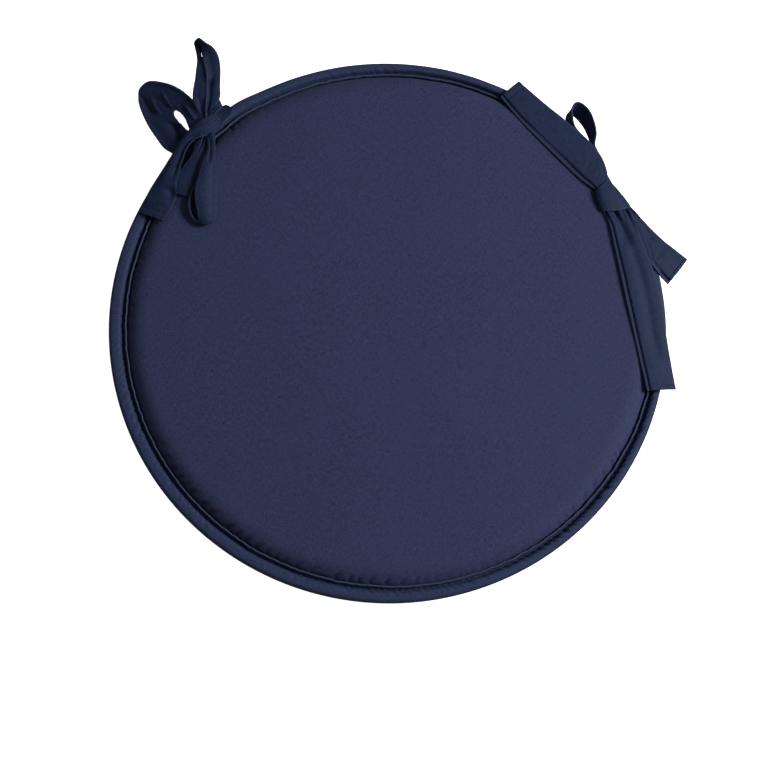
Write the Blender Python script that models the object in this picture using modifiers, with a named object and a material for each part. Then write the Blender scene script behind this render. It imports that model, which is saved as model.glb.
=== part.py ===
"""Round chair cushion: a thin filled pad, bound at its edge, with a tie knotted in a bow at each back corner.

Metres, +Z up. The origin is the centre of the flat underside, and +Y points to the side with the ties.
"""

import math

import bmesh
import bpy
from mathutils import Vector

MM = 0.001

# Driving dimensions
OUTER_RADIUS = 150.0 * MM
SEAM_RADIUS = 139.3 * MM
CROWN_HEIGHT = 14.0 * MM
CROWN_DROP = 1.2 * MM
ROLL_START = 129.0 * MM
ROLL_DROP = 3.4 * MM
RIM_HEIGHT = 9.5 * MM
RIM_MIDDLE = 6.0 * MM
RIM_SHOULDER = 3.0 * MM
RIM_SLOPE = 0.45
RIM_CLEARANCE = 0.6 * MM
TIE_CLOTH = 1.2 * MM
GAP = 0.35 * MM
TURN_STEPS = 56
TIE_CELLS_ACROSS = 3
TIE_CELLS_PER_STATION = 2
KNOT_LEVELS = 3

NAVY_FACE = (0.026, 0.034, 0.082, 1.0)
NAVY_BINDING = (0.022, 0.033, 0.078, 1.0)
NAVY_TIE = (0.019, 0.028, 0.070, 1.0)
CLOTH_ROUGHNESS = 0.75

# Each tie is a flat tape. A station gives its two edges, (x, y, z) in millimetres, from one end to the other.
RIGHT_END_BACK = [
    ((72.0, 138.9, 8.4), (61.6, 129.3, 11.0)),
    ((85.0, 126.4, 9.4), (72.8, 114.3, 12.2)),
    ((97.4, 115.4, 10.2), (85.5, 100.4, 13.0)),
    ((108.0, 105.5, 10.8), (97.0, 88.5, 13.4)),
    ((115.6, 95.6, 11.6), (104.5, 81.0, 13.8)),
    ((118.8, 86.5, 12.8), (109.5, 77.2, 13.8)),
    ((119.2, 80.4, 13.4), (112.8, 74.8, 13.6)),
    ((120.6, 75.6, 13.4), (116.2, 72.0, 13.4)),
]
RIGHT_END_FRONT = [
    ((125.0, 71.4, 13.2), (118.2, 68.8, 13.4)),
    ((130.0, 64.8, 13.2), (116.6, 62.6, 13.6)),
    ((134.4, 54.0, 12.8), (119.6, 55.6, 14.2)),
    ((138.8, 41.0, 12.4), (122.2, 42.0, 14.2)),
    ((143.4, 27.4, 12.0), (124.9, 27.5, 14.2)),
    ((146.6, 12.2, 10.9), (127.8, 12.0, 14.0)),
    ((148.5, -4.0, 10.6), (130.8, -3.0, 13.8)),
    ((150.6, -19.5, 9.8), (134.0, -19.0, 13.2)),
    ((153.2, -35.3, 9.0), (137.6, -36.8, 12.4)),
]
RIGHT_END_OUTER = [
    ((127.0, 70.6, 12.2), (121.6, 66.4, 12.6)),
    ((133.6, 64.4, 9.6), (127.0, 58.6, 11.0)),
    ((142.3, 55.2, 7.0), (133.4, 49.0, 10.6)),
    ((150.4, 47.6, 5.0), (139.4, 38.4, 10.5)),
    ((156.6, 42.9, 3.6), (145.4, 30.2, 8.4)),
    ((162.6, 38.5, 2.4), (151.6, 24.2, 5.6)),
]
RIGHT_LOOP = [
    ((106.6, 107.4, 10.9), (105.0, 108.6, 4.6)),
    ((102.6, 112.0, 11.4), (100.6, 113.2, 4.0)),
    ((101.2, 116.6, 12.0), (98.4, 118.0, 3.5)),
    ((101.0, 121.4, 12.2), (99.2, 122.2, 3.2)),
    ((101.9, 124.9, 12.4), (101.3, 122.6, 3.0)),
    ((104.2, 126.3, 12.4), (103.6, 120.9, 3.0)),
    ((107.5, 124.8, 12.4), (105.6, 118.6, 3.1)),
    ((110.8, 120.8, 12.3), (107.9, 115.2, 3.3)),
    ((113.1, 114.9, 12.1), (109.7, 111.2, 3.7)),
    ((114.0, 108.5, 11.8), (111.3, 106.6, 4.2)),
    ((113.0, 102.6, 11.4), (112.2, 102.0, 4.8)),
    ((114.6, 98.6, 11.2), (114.4, 98.8, 5.2)),
]
LEFT_END = [
    ((-87.3, 121.7, 14.6), (-85.2, 120.3, 14.0)),
    ((-90.1, 120.1, 16.4), (-86.1, 117.1, 15.4)),
    ((-93.5, 117.5, 17.8), (-88.8, 112.8, 16.8)),
    ((-96.9, 113.9, 19.4), (-92.5, 107.9, 16.6)),
    ((-101.0, 111.5, 19.2), (-96.9, 103.9, 16.6)),
    ((-105.1, 109.4, 17.2), (-100.6, 102.4, 17.0)),
    ((-109.2, 106.0, 14.8), (-105.3, 100.1, 17.2)),
    ((-113.2, 100.7, 13.2), (-109.2, 95.2, 16.8)),
    ((-118.1, 92.6, 12.2), (-111.8, 87.8, 16.0)),
    ((-123.1, 84.3, 11.6), (-114.3, 79.0, 15.0)),
    ((-128.3, 75.6, 11.2), (-115.0, 71.5, 14.6)),
    ((-132.1, 68.0, 10.9), (-116.5, 64.1, 13.6)),
    ((-134.9, 61.1, 10.6), (-122.0, 55.9, 12.4)),
]
LEFT_END_INNER = [
    ((-101.5, 104.0, 15.0), (-97.4, 103.6, 15.2)),
    ((-102.8, 98.9, 15.4), (-98.9, 97.7, 15.4)),
    ((-106.9, 92.1, 15.4), (-100.8, 91.2, 15.4)),
    ((-112.1, 84.8, 14.8), (-103.0, 84.2, 15.4)),
    ((-115.6, 77.7, 14.4), (-105.9, 76.7, 15.2)),
    ((-115.2, 70.7, 14.3), (-107.6, 68.5, 14.6)),
]
LEFT_LOOP_OUTER = [
    ((-100.1, 113.0, 16.8), (-104.1, 109.3, 15.3)),
    ((-104.4, 121.3, 15.2), (-108.2, 107.0, 13.8)),
    ((-108.2, 125.7, 13.8), (-109.0, 108.9, 13.6)),
    ((-113.9, 131.1, 11.8), (-110.9, 113.8, 12.9)),
    ((-120.4, 135.2, 9.5), (-113.4, 117.4, 12.0)),
    ((-127.7, 137.9, 6.8), (-116.1, 119.7, 11.0)),
    ((-133.4, 138.3, 4.8), (-117.4, 119.6, 10.5)),
    ((-137.3, 134.9, 3.4), (-117.7, 118.4, 10.4)),
    ((-137.8, 130.3, 3.2), (-117.0, 116.3, 10.7)),
    ((-136.0, 123.0, 3.8), (-115.6, 114.2, 11.2)),
    ((-131.9, 113.5, 5.3), (-114.1, 112.2, 11.7)),
    ((-126.8, 105.1, 7.2), (-112.3, 110.2, 12.4)),
    ((-122.0, 98.3, 8.9), (-110.0, 107.7, 13.2)),
    ((-116.8, 94.2, 10.8), (-106.7, 106.1, 14.4)),
]
LEFT_LOOP_TALL = [
    ((-101.3, 113.1, 15.0), (-100.2, 112.9, 15.4)),
    ((-107.1, 125.0, 13.6), (-101.3, 124.5, 15.0)),
    ((-106.1, 138.4, 13.4), (-101.3, 138.6, 15.0)),
    ((-105.4, 147.3, 12.6), (-102.0, 146.9, 14.6)),
    ((-106.1, 153.7, 11.4), (-103.1, 150.6, 13.0)),
    ((-107.3, 159.4, 11.0), (-103.8, 155.1, 10.6)),
    ((-104.8, 161.1, 13.6), (-103.2, 157.3, 8.6)),
    ((-100.9, 157.7, 15.2), (-101.5, 154.7, 11.5)),
    ((-96.9, 155.3, 16.0), (-100.5, 149.4, 15.4)),
    ((-93.5, 149.7, 16.6), (-99.7, 144.8, 17.0)),
    ((-92.3, 141.8, 17.0), (-99.1, 137.5, 17.8)),
    ((-92.2, 131.6, 17.0), (-98.9, 129.6, 18.0)),
    ((-92.3, 125.5, 16.8), (-99.2, 120.4, 17.8)),
    ((-95.5, 117.1, 16.4), (-99.2, 112.3, 17.0)),
]
LEFT_LOOP_FRONT = [
    ((-99.0, 103.3, 17.0), (-94.9, 104.1, 17.0)),
    ((-98.1, 95.8, 17.6), (-94.3, 96.0, 17.2)),
    ((-99.9, 88.9, 17.6), (-94.0, 88.9, 16.8)),
    ((-101.8, 80.6, 17.4), (-93.7, 80.3, 16.2)),
    ((-103.6, 72.2, 17.4), (-93.3, 72.1, 15.8)),
    ((-104.4, 65.7, 17.4), (-93.0, 64.6, 15.6)),
    ((-103.2, 59.0, 17.4), (-93.4, 58.6, 15.6)),
    ((-102.4, 55.3, 17.2), (-94.7, 55.3, 16.4)),
    ((-103.5, 54.7, 16.2), (-97.7, 55.6, 14.6)),
    ((-106.4, 58.9, 16.4), (-100.6, 58.4, 14.4)),
    ((-108.0, 65.2, 16.6), (-101.5, 65.6, 14.4)),
    ((-107.7, 71.2, 16.8), (-100.9, 72.5, 14.4)),
    ((-105.5, 78.4, 17.0), (-99.6, 80.8, 14.6)),
    ((-102.5, 86.1, 17.0), (-97.0, 88.8, 14.8)),
    ((-100.1, 94.6, 16.6), (-96.1, 96.0, 15.0)),
]
# Each knot is a soft lump: centre, length, width at its two ends, height, all in millimetres, and its heading.
RIGHT_KNOT = ((119.9, 71.3, 14.4), 21.0, 12.5, 18.5, 7.0, math.radians(-62.0))
LEFT_KNOT = ((-100.4, 111.0, 13.4), 16.0, 13.0, 13.0, 7.4, math.radians(-132.0))


def clear_scene():
    for old in list(bpy.data.objects):
        bpy.data.objects.remove(old, do_unlink=True)


def new_collection(name):
    collection = bpy.data.collections.new(name)
    bpy.context.scene.collection.children.link(collection)
    return collection


def cloth_material(name, colour):
    material = bpy.data.materials.new(name)
    material.use_nodes = True
    shader = material.node_tree.nodes["Principled BSDF"]
    shader.inputs["Base Color"].default_value = colour
    shader.inputs["Roughness"].default_value = CLOTH_ROUGHNESS
    shader.inputs["Metallic"].default_value = 0.0
    material.diffuse_color = colour
    return material


def add_object(name, mesh, collection, material=None):
    piece = bpy.data.objects.new(name, mesh)
    collection.objects.link(piece)
    if material is not None:
        mesh.materials.append(material)
    return piece


def hide_guide(piece):
    piece.hide_render = True
    piece.display_type = "WIRE"


def face_height(radius):
    """Height of the pad's face: a low crown that rolls down to the seam."""
    crown = CROWN_HEIGHT - CROWN_DROP * (radius / SEAM_RADIUS) ** 4
    roll = max(0.0, (radius - ROLL_START) / (SEAM_RADIUS - ROLL_START))
    return crown - ROLL_DROP * roll ** 2


def rest_height(radius):
    """Lowest height of a tape's middle layer where it lies on the pad or its binding."""
    rim_end = OUTER_RADIUS - RIM_SHOULDER
    top = max(face_height(min(radius, SEAM_RADIUS)) if radius < SEAM_RADIUS else 0.0, RIM_HEIGHT)
    if radius > rim_end:
        top = RIM_HEIGHT - RIM_SLOPE * (radius - rim_end)
    return top + GAP + TIE_CLOTH / 2


def turned_solid(name, profile, collection, material):
    """Turn a closed profile of (radius, height) about the pad's axis."""
    bm = bmesh.new()
    rim = [bm.verts.new((radius, 0.0, height)) for radius, height in profile]
    pairs = list(zip(rim, rim[1:]))
    if profile[0][0] > 0.0:
        pairs.append((rim[-1], rim[0]))
    for start, end in pairs:
        bm.edges.new((start, end))
    mesh = bpy.data.meshes.new(name)
    bm.to_mesh(mesh)
    bm.free()
    piece = add_object(name, mesh, collection, material)
    screw = piece.modifiers.new("turn", "SCREW")
    screw.axis = "Z"
    screw.steps = TURN_STEPS
    screw.render_steps = TURN_STEPS
    screw.use_merge_vertices = True
    screw.merge_threshold = 0.01 * MM
    screw.use_smooth_shade = True
    return piece


def make_pad(collection, material):
    """The filled cover, stepped in at its rim for the binding."""
    face_radii = [0.0, 50.0, 90.0, 115.0, 129.0, 133.0, 136.5, 139.3]
    profile = [(radius * MM, face_height(radius * MM)) for radius in face_radii]
    rim = [
        (139.3, 7.2), (141.6, 7.1), (142.3, 6.4), (143.4, 7.2), (145.6, 7.7), (147.0, 7.0),
        (147.9, 5.6), (148.1, 4.6), (147.8, 3.4), (146.8, 2.1), (145.4, 1.6), (139.3, 1.6),
    ]
    profile += [(radius * MM, height * MM) for radius, height in rim]
    profile += [(SEAM_RADIUS, 0.0), (0.0, 0.0)]
    return turned_solid("pad", profile, collection, material)


def make_binding(collection, material):
    """The folded strip that wraps the rim, with a sewn groove near its upper inner fold."""
    outside = [
        (139.7, 8.7), (140.6, 9.2), (141.5, 8.9), (142.3, 8.1), (143.3, 8.9), (145.2, 9.5), (147.2, 9.1),
        (148.9, 7.7), (149.8, 6.0), (150.0, 4.6), (149.7, 3.0), (148.6, 1.2), (147.0, 0.2), (145.2, 0.0),
        (139.7, 0.0),
    ]
    inside = [
        (139.7, 1.2), (145.5, 1.2), (147.1, 1.8), (148.2, 3.2), (148.5, 4.6), (148.3, 5.8), (147.3, 7.4),
        (145.7, 8.1), (143.3, 7.6), (142.3, 6.85), (141.6, 7.5), (139.7, 7.6),
    ]
    profile = [(radius * MM, height * MM) for radius, height in outside + inside]
    return turned_solid("binding", profile, collection, material)


def smooth_between(points, place):
    """A point on the smooth curve through points, at place from 0 to len(points) - 1."""
    index = min(int(place), len(points) - 2)
    t = place - index
    p1, p2 = points[index], points[index + 1]
    p0 = points[index - 1] if index > 0 else 2 * p1 - p2
    p3 = points[index + 2] if index + 2 < len(points) else 2 * p2 - p1
    return 0.5 * (2 * p1 + (p2 - p0) * t + (2 * p0 - 5 * p1 + 4 * p2 - p3) * t ** 2
                  + (3 * p1 - p0 - 3 * p2 + p3) * t ** 3)


def make_tape(name, stations, collection):
    """A flat tape through its stations, laid no lower than the pad under it."""
    edge_a = [Vector(station[0]) * MM for station in stations]
    edge_b = [Vector(station[1]) * MM for station in stations]
    cells = (len(stations) - 1) * TIE_CELLS_PER_STATION
    bm = bmesh.new()
    bmesh.ops.create_grid(bm, x_segments=TIE_CELLS_ACROSS, y_segments=cells, size=0.5)
    for vert in bm.verts:
        across = vert.co.x + 0.5
        place = (vert.co.y + 0.5) * (len(stations) - 1)
        point = smooth_between(edge_a, place).lerp(smooth_between(edge_b, place), across)
        point.z = max(point.z, rest_height(math.hypot(point.x, point.y)) if on_pad(point) else 0.0)
        vert.co = point
    bmesh.ops.recalc_face_normals(bm, faces=bm.faces)
    mesh = bpy.data.meshes.new(name)
    bm.to_mesh(mesh)
    bm.free()
    tape = add_object(name, mesh, collection)
    shell = tape.modifiers.new("cloth", "SOLIDIFY")
    shell.thickness = TIE_CLOTH
    shell.offset = 0.0
    return tape


def on_pad(point):
    """Whether a tape's point is over the pad, rather than beside its rim."""
    radius = math.hypot(point.x, point.y)
    return radius < OUTER_RADIUS + RIM_CLEARANCE and point.z > RIM_MIDDLE


def make_knot(name, size, collection):
    """A soft lump from a tapered cube cage, flattened where it lies on the pad."""
    centre, length, width_start, width_end, height, heading = size
    bm = bmesh.new()
    bmesh.ops.create_cube(bm, size=1.0)
    for vert in bm.verts:
        width = width_end if vert.co.x > 0 else width_start
        along = vert.co.x * length
        across = vert.co.y * width
        x = centre[0] + along * math.cos(heading) - across * math.sin(heading)
        y = centre[1] + along * math.sin(heading) + across * math.cos(heading)
        vert.co = Vector((x, y, centre[2] + vert.co.z * height)) * MM
    cage = bpy.data.meshes.new(name + "_cage")
    bm.to_mesh(cage)
    bm.free()
    knot = add_object(name, cage, collection)
    soft = knot.modifiers.new("soft", "SUBSURF")
    soft.levels = KNOT_LEVELS
    soft.render_levels = KNOT_LEVELS
    knot.data = bpy.data.meshes.new_from_object(knot.evaluated_get(bpy.context.evaluated_depsgraph_get()))
    knot.modifiers.remove(soft)
    for vert in knot.data.vertices:
        radius = math.hypot(vert.co.x, vert.co.y)
        vert.co.z = max(vert.co.z, rest_height(radius) - TIE_CLOTH / 2)
    return knot


def make_tie(name, knot_size, strips, collection, guides, material):
    """One tie: its knot joined with its loops and free ends into one piece of cloth."""
    tie = make_knot(name, knot_size, collection)
    tie.data.materials.append(material)
    for label, stations in strips.items():
        strip = make_tape(name + "_" + label, stations, guides)
        hide_guide(strip)
        join = tie.modifiers.new(label, "BOOLEAN")
        join.operation = "UNION"
        join.solver = "EXACT"
        join.object = strip
    return tie


def main():
    clear_scene()
    parts = new_collection("round_chair_cushion")
    guides = new_collection("joined_shapes")
    make_pad(parts, cloth_material("face_cloth", NAVY_FACE))
    make_binding(parts, cloth_material("binding_cloth", NAVY_BINDING))
    tie_cloth = cloth_material("tie_cloth", NAVY_TIE)
    right_strips = {
        "end_back": RIGHT_END_BACK, "end_front": RIGHT_END_FRONT, "end_outer": RIGHT_END_OUTER,
        "loop": RIGHT_LOOP,
    }
    left_strips = {
        "end": LEFT_END, "end_inner": LEFT_END_INNER, "loop_outer": LEFT_LOOP_OUTER,
        "loop_tall": LEFT_LOOP_TALL, "loop_front": LEFT_LOOP_FRONT,
    }
    make_tie("tie_right", RIGHT_KNOT, right_strips, parts, guides, tie_cloth)
    make_tie("tie_left", LEFT_KNOT, left_strips, parts, guides, tie_cloth)


main()
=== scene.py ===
import math

import bmesh
import bpy
from bpy.props import FloatProperty, FloatVectorProperty, IntProperty, PointerProperty
from mathutils import Matrix, Vector, noise


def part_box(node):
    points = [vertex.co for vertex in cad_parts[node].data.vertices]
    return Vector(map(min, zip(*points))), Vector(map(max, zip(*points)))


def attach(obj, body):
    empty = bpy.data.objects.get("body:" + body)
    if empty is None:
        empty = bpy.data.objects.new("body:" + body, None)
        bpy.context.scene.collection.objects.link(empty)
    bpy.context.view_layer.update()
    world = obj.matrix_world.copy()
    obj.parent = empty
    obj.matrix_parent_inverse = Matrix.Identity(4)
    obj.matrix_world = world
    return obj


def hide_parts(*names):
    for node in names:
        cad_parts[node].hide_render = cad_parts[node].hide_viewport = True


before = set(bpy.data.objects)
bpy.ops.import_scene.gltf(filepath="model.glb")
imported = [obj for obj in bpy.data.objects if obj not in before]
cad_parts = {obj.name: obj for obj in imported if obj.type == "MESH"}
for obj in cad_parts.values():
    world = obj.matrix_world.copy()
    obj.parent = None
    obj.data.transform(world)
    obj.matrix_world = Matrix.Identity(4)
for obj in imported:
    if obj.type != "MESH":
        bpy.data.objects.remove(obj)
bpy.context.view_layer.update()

bl_info = {
    "name": "Round Chair Cushion",
    "version": (1, 0, 0),
    "blender": (4, 5, 0),
    "location": "View3D > Sidebar > Cushion",
    "description": "Sews a thin round seat pad with a bound edge and two ties in bows",
    "category": "Object",
}

MM = 0.001

PAD_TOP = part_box("pad")[1].z
RIM_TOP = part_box("binding")[1].z
RIM_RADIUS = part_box("binding")[1].x

TURN_STEPS = 90
GATHERS_ROUND = 122

# Places of the sewn edge, as distances in from the rim
LIP_INSET = 9.9 * MM
ROLL_INSET = 21.0 * MM

# How a tape lies on the pad: over the rim, down its rounded shoulder, or beside it
REST_GAP = 0.3 * MM
RIM_RISE = 0.2 * MM
RIM_CLEARANCE = 0.6 * MM
RIM_SHOULDER = 3.0 * MM
RIM_SLOPE = 0.45
BESIDE_RIM = 3.5 * MM

# Details of a tape: how much finer a sewn one's cells are across, the share of a side that a slope is
# measured over, its seams, how far the painted highlight on its edges reaches in, and how much paler that
# painted highlight makes each colour
SEWN_FINENESS = 1.7
SLOPE_STEP = 0.004
GROOVE_WIDTH = 0.32 * MM
END_SEAM = 2.4 * MM
EDGE_HIGHLIGHT_REACH = 0.9 * MM
SEWN_EDGE_HIGHLIGHT_REACH = 1.3 * MM
EDGE_HIGHLIGHT_TINT = (3.2, 2.4, 1.75)

# Each tie is made of flat tapes. A station gives a tape's two edges, (x, y, z) in millimetres.
# Most of the x and y values below came out of another program, given points picked one by one. They don't
# follow from the sizes in this script, so they aren't an example to copy.
RIGHT_END_BACK = [
    ((72.0, 138.9, 8.4), (61.6, 129.3, 11.0)),
    ((85.0, 126.4, 9.4), (72.8, 114.3, 12.2)),
    ((97.4, 115.4, 10.2), (85.5, 100.4, 13.0)),
    ((108.0, 105.5, 10.8), (97.0, 88.5, 13.4)),
    ((115.6, 95.6, 11.6), (104.5, 81.0, 13.8)),
    ((118.8, 86.5, 12.8), (109.5, 77.2, 13.8)),
    ((119.2, 80.4, 13.4), (112.8, 74.8, 13.6)),
    ((120.6, 75.6, 13.4), (116.2, 72.0, 13.4)),
]
RIGHT_END_FRONT = [
    ((125.0, 71.4, 11.4), (118.2, 68.8, 12.0)),
    ((130.0, 64.8, 12.4), (116.6, 62.6, 13.4)),
    ((134.4, 54.0, 12.8), (119.6, 55.6, 14.2)),
    ((138.8, 41.0, 12.4), (122.2, 42.0, 14.2)),
    ((143.4, 27.4, 12.0), (124.9, 27.5, 14.2)),
    ((146.6, 12.2, 10.9), (127.8, 12.0, 14.0)),
    ((148.5, -4.0, 10.6), (130.8, -3.0, 13.8)),
    ((150.6, -19.5, 9.8), (134.0, -19.0, 13.2)),
    ((153.2, -35.3, 9.0), (137.6, -36.8, 12.4)),
]
RIGHT_END_OUTER = [
    ((127.0, 70.6, 12.2), (121.6, 66.4, 12.6)),
    ((133.6, 64.4, 9.6), (127.0, 58.6, 11.0)),
    ((142.3, 55.2, 7.0), (133.4, 49.0, 10.6)),
    ((150.4, 47.6, 6.4), (139.4, 38.4, 10.5)),
    ((156.6, 42.9, 5.6), (145.4, 30.2, 8.6)),
    ((162.6, 38.5, 4.4), (151.6, 24.2, 6.2)),
]
RIGHT_LOOP = [
    ((106.6, 107.4, 10.9), (105.0, 108.6, 4.6)),
    ((102.6, 112.0, 11.4), (100.6, 113.2, 4.0)),
    ((101.2, 116.6, 12.0), (98.4, 118.0, 3.5)),
    ((101.0, 121.4, 12.2), (99.2, 122.2, 3.2)),
    ((101.9, 124.9, 12.4), (101.3, 122.6, 3.0)),
    ((104.2, 126.3, 12.4), (103.6, 120.9, 3.0)),
    ((107.5, 124.8, 12.4), (105.6, 118.6, 3.1)),
    ((110.8, 120.8, 12.3), (107.9, 115.2, 3.3)),
    ((113.1, 114.9, 12.1), (109.7, 111.2, 3.7)),
    ((114.0, 108.5, 11.8), (111.3, 106.6, 4.2)),
    ((113.0, 102.6, 11.4), (112.2, 102.0, 4.8)),
    ((114.6, 98.6, 11.2), (114.4, 98.8, 5.2)),
]
RIGHT_KNOT = [
    ((120.2, 81.6, 8.0), (131.6, 67.2, 7.4)),
    ((120.0, 81.0, 12.4), (131.2, 66.0, 11.6)),
    ((118.8, 79.8, 15.2), (129.0, 64.6, 13.8)),
    ((116.4, 77.6, 16.2), (124.2, 63.2, 15.0)),
    ((114.0, 75.6, 16.4), (119.0, 62.6, 15.6)),
    ((112.4, 73.8, 14.8), (116.0, 62.8, 14.8)),
    ((113.6, 72.8, 12.8), (116.8, 64.0, 13.4)),
]
LEFT_END = [
    ((-89.7, 122.5, 11.6), (-84.8, 118.4, 17.8)),
    ((-91.3, 121.2, 12.6), (-85.7, 115.1, 18.6)),
    ((-93.9, 118.0, 15.6), (-88.7, 112.5, 17.8)),
    ((-97.0, 114.2, 18.8), (-92.5, 108.2, 15.8)),
    ((-101.0, 111.4, 19.6), (-96.9, 103.9, 16.6)),
    ((-105.0, 108.9, 18.4), (-100.6, 102.3, 17.4)),
    ((-109.1, 105.7, 15.6), (-105.3, 100.1, 17.4)),
    ((-113.2, 100.7, 13.2), (-109.2, 95.2, 16.8)),
    ((-118.2, 92.6, 12.0), (-111.8, 87.8, 16.0)),
    ((-123.1, 84.4, 11.2), (-114.3, 79.0, 15.0)),
    ((-128.4, 75.8, 10.7), (-115.0, 71.5, 14.6)),
    ((-132.2, 68.2, 10.4), (-116.5, 64.0, 13.8)),
    ((-134.9, 61.2, 10.2), (-121.9, 55.7, 12.8)),
]
LEFT_END_INNER = [
    ((-101.5, 104.0, 15.0), (-97.4, 103.6, 15.2)),
    ((-102.8, 98.9, 15.4), (-98.9, 97.7, 15.4)),
    ((-106.9, 92.1, 15.4), (-100.8, 91.2, 15.4)),
    ((-112.1, 84.8, 14.8), (-103.0, 84.2, 15.4)),
    ((-115.6, 77.7, 14.4), (-105.9, 76.7, 15.2)),
    ((-115.2, 70.7, 14.3), (-107.6, 68.5, 14.6)),
]
LEFT_LOOP_OUTER = [
    ((-100.1, 113.0, 16.8), (-104.1, 109.3, 15.3)),
    ((-104.4, 121.3, 15.2), (-108.2, 107.0, 13.8)),
    ((-108.2, 125.7, 13.8), (-109.0, 108.9, 13.6)),
    ((-113.9, 131.1, 11.8), (-110.9, 113.8, 12.9)),
    ((-120.4, 135.2, 9.5), (-113.4, 117.4, 12.0)),
    ((-127.7, 137.9, 6.8), (-116.1, 119.7, 11.0)),
    ((-133.4, 138.3, 4.8), (-117.4, 119.6, 10.5)),
    ((-137.3, 134.9, 3.4), (-117.7, 118.4, 10.4)),
    ((-137.8, 130.3, 3.2), (-117.0, 116.3, 10.7)),
    ((-136.0, 123.0, 3.8), (-115.6, 114.2, 11.2)),
    ((-131.9, 113.5, 5.3), (-114.1, 112.2, 11.7)),
    ((-126.8, 105.1, 7.2), (-112.3, 110.2, 12.4)),
    ((-122.0, 98.3, 8.9), (-110.0, 107.7, 13.2)),
    ((-116.8, 94.2, 10.8), (-106.7, 106.1, 14.4)),
]
LEFT_LOOP_TALL = [
    ((-101.3, 112.9, 15.4), (-99.3, 112.9, 15.6)),
    ((-106.9, 123.9, 16.6), (-99.1, 123.7, 17.2)),
    ((-105.9, 137.2, 16.4), (-99.1, 137.7, 17.2)),
    ((-105.2, 146.3, 15.2), (-100.3, 146.1, 16.4)),
    ((-106.1, 153.7, 11.4), (-102.7, 150.1, 14.2)),
    ((-107.3, 159.4, 11.0), (-103.3, 154.6, 11.0)),
    ((-104.7, 160.5, 15.0), (-103.2, 157.0, 7.5)),
    ((-100.8, 157.0, 17.0), (-102.7, 154.1, 11.5)),
    ((-96.9, 154.7, 17.5), (-102.2, 148.6, 16.4)),
    ((-93.5, 149.4, 17.4), (-101.1, 144.5, 17.8)),
    ((-92.2, 141.7, 17.2), (-99.7, 137.1, 18.8)),
    ((-92.2, 131.6, 17.2), (-99.6, 129.3, 18.8)),
    ((-92.3, 125.4, 17.0), (-99.9, 120.2, 18.4)),
    ((-95.5, 117.1, 16.4), (-99.9, 112.2, 17.4)),
]
LEFT_LOOP_FRONT = [
    ((-99.0, 103.3, 17.0), (-94.9, 104.3, 16.6)),
    ((-98.3, 95.7, 18.0), (-94.3, 96.2, 16.6)),
    ((-100.4, 88.5, 18.8), (-94.0, 89.1, 16.2)),
    ((-102.4, 80.0, 19.2), (-93.7, 80.5, 15.6)),
    ((-104.5, 71.5, 19.4), (-93.3, 72.3, 15.2)),
    ((-104.1, 65.1, 19.4), (-93.1, 64.7, 15.2)),
    ((-102.9, 58.5, 18.8), (-93.2, 58.0, 15.4)),
    ((-102.3, 55.1, 17.8), (-94.3, 55.1, 16.4)),
    ((-103.4, 54.2, 16.8), (-97.4, 55.3, 14.6)),
    ((-106.7, 58.5, 17.2), (-100.6, 58.4, 14.4)),
    ((-107.8, 64.5, 17.6), (-101.5, 65.6, 14.4)),
    ((-106.3, 71.0, 17.6), (-100.5, 72.5, 14.4)),
    ((-103.9, 78.4, 17.0), (-98.9, 80.8, 14.6)),
    ((-102.0, 86.1, 17.0), (-96.9, 88.8, 14.8)),
    ((-100.1, 94.6, 16.6), (-96.1, 96.0, 15.0)),
]
LEFT_FAN = [
    ((-100.2, 113.1, 16.2), (-97.2, 111.9, 16.6)),
    ((-97.3, 116.8, 16.8), (-94.6, 114.3, 17.2)),
    ((-94.8, 120.8, 16.4), (-92.3, 117.4, 16.8)),
    ((-92.8, 124.9, 15.2), (-90.7, 119.8, 15.8)),
]
# A knot's hidden middle: centre, length, width and height in millimetres, and its heading
LEFT_KNOT = ((-99.6, 109.4, 13.6), (15.0, 9.0, 6.0), math.radians(35.0))


# ---------------------------------------------------------------- settings


class PadSettings(bpy.types.PropertyGroup):
    """Sizes of the filled pad."""

    crown_drop: FloatProperty(
        name="Crown Drop", description="How much lower the face is where its edge starts to roll",
        default=1.2 * MM, min=0.0, unit="LENGTH")
    roll_drop: FloatProperty(
        name="Roll Drop", description="How far the face rolls down to the seam",
        default=3.8 * MM, min=0.0, unit="LENGTH")
    pucker_depth: FloatProperty(
        name="Pucker Depth", description="Depth of the gathers that the stitches pull into the face",
        default=0.9 * MM, min=0.0, unit="LENGTH")
    unevenness: FloatProperty(
        name="Unevenness", description="Height of the filling's soft lumps",
        default=0.22 * MM, min=0.0, unit="LENGTH")
    cuts: IntProperty(
        name="Cuts", description="How many times each of the pad's steps round is cut",
        default=8, min=1, max=12)


class BindingSettings(bpy.types.PropertyGroup):
    """Sizes of the bound edge and its stitching."""

    cloth: FloatProperty(
        name="Cloth", description="Thickness of the folded strip",
        default=1.0 * MM, min=0.2 * MM, unit="LENGTH")
    pucker_depth: FloatProperty(
        name="Pucker Depth", description="Depth of the gathers along the stitched groove",
        default=1.8 * MM, min=0.0, unit="LENGTH")
    seam_wander: FloatProperty(
        name="Seam Wander", description="How far the sewn line strays from a true circle",
        default=1.4 * MM, min=0.0, unit="LENGTH")
    stitch_length: FloatProperty(
        name="Stitch Length", description="Length of one stitch with the space after it",
        default=3.2 * MM, min=1.0 * MM, unit="LENGTH")
    thread: FloatProperty(
        name="Thread", description="Thickness of the sewing thread",
        default=0.45 * MM, min=0.1 * MM, unit="LENGTH")
    cuts: IntProperty(
        name="Cuts", description="How many times each of the binding's steps round is cut",
        default=9, min=1, max=12)


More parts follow.
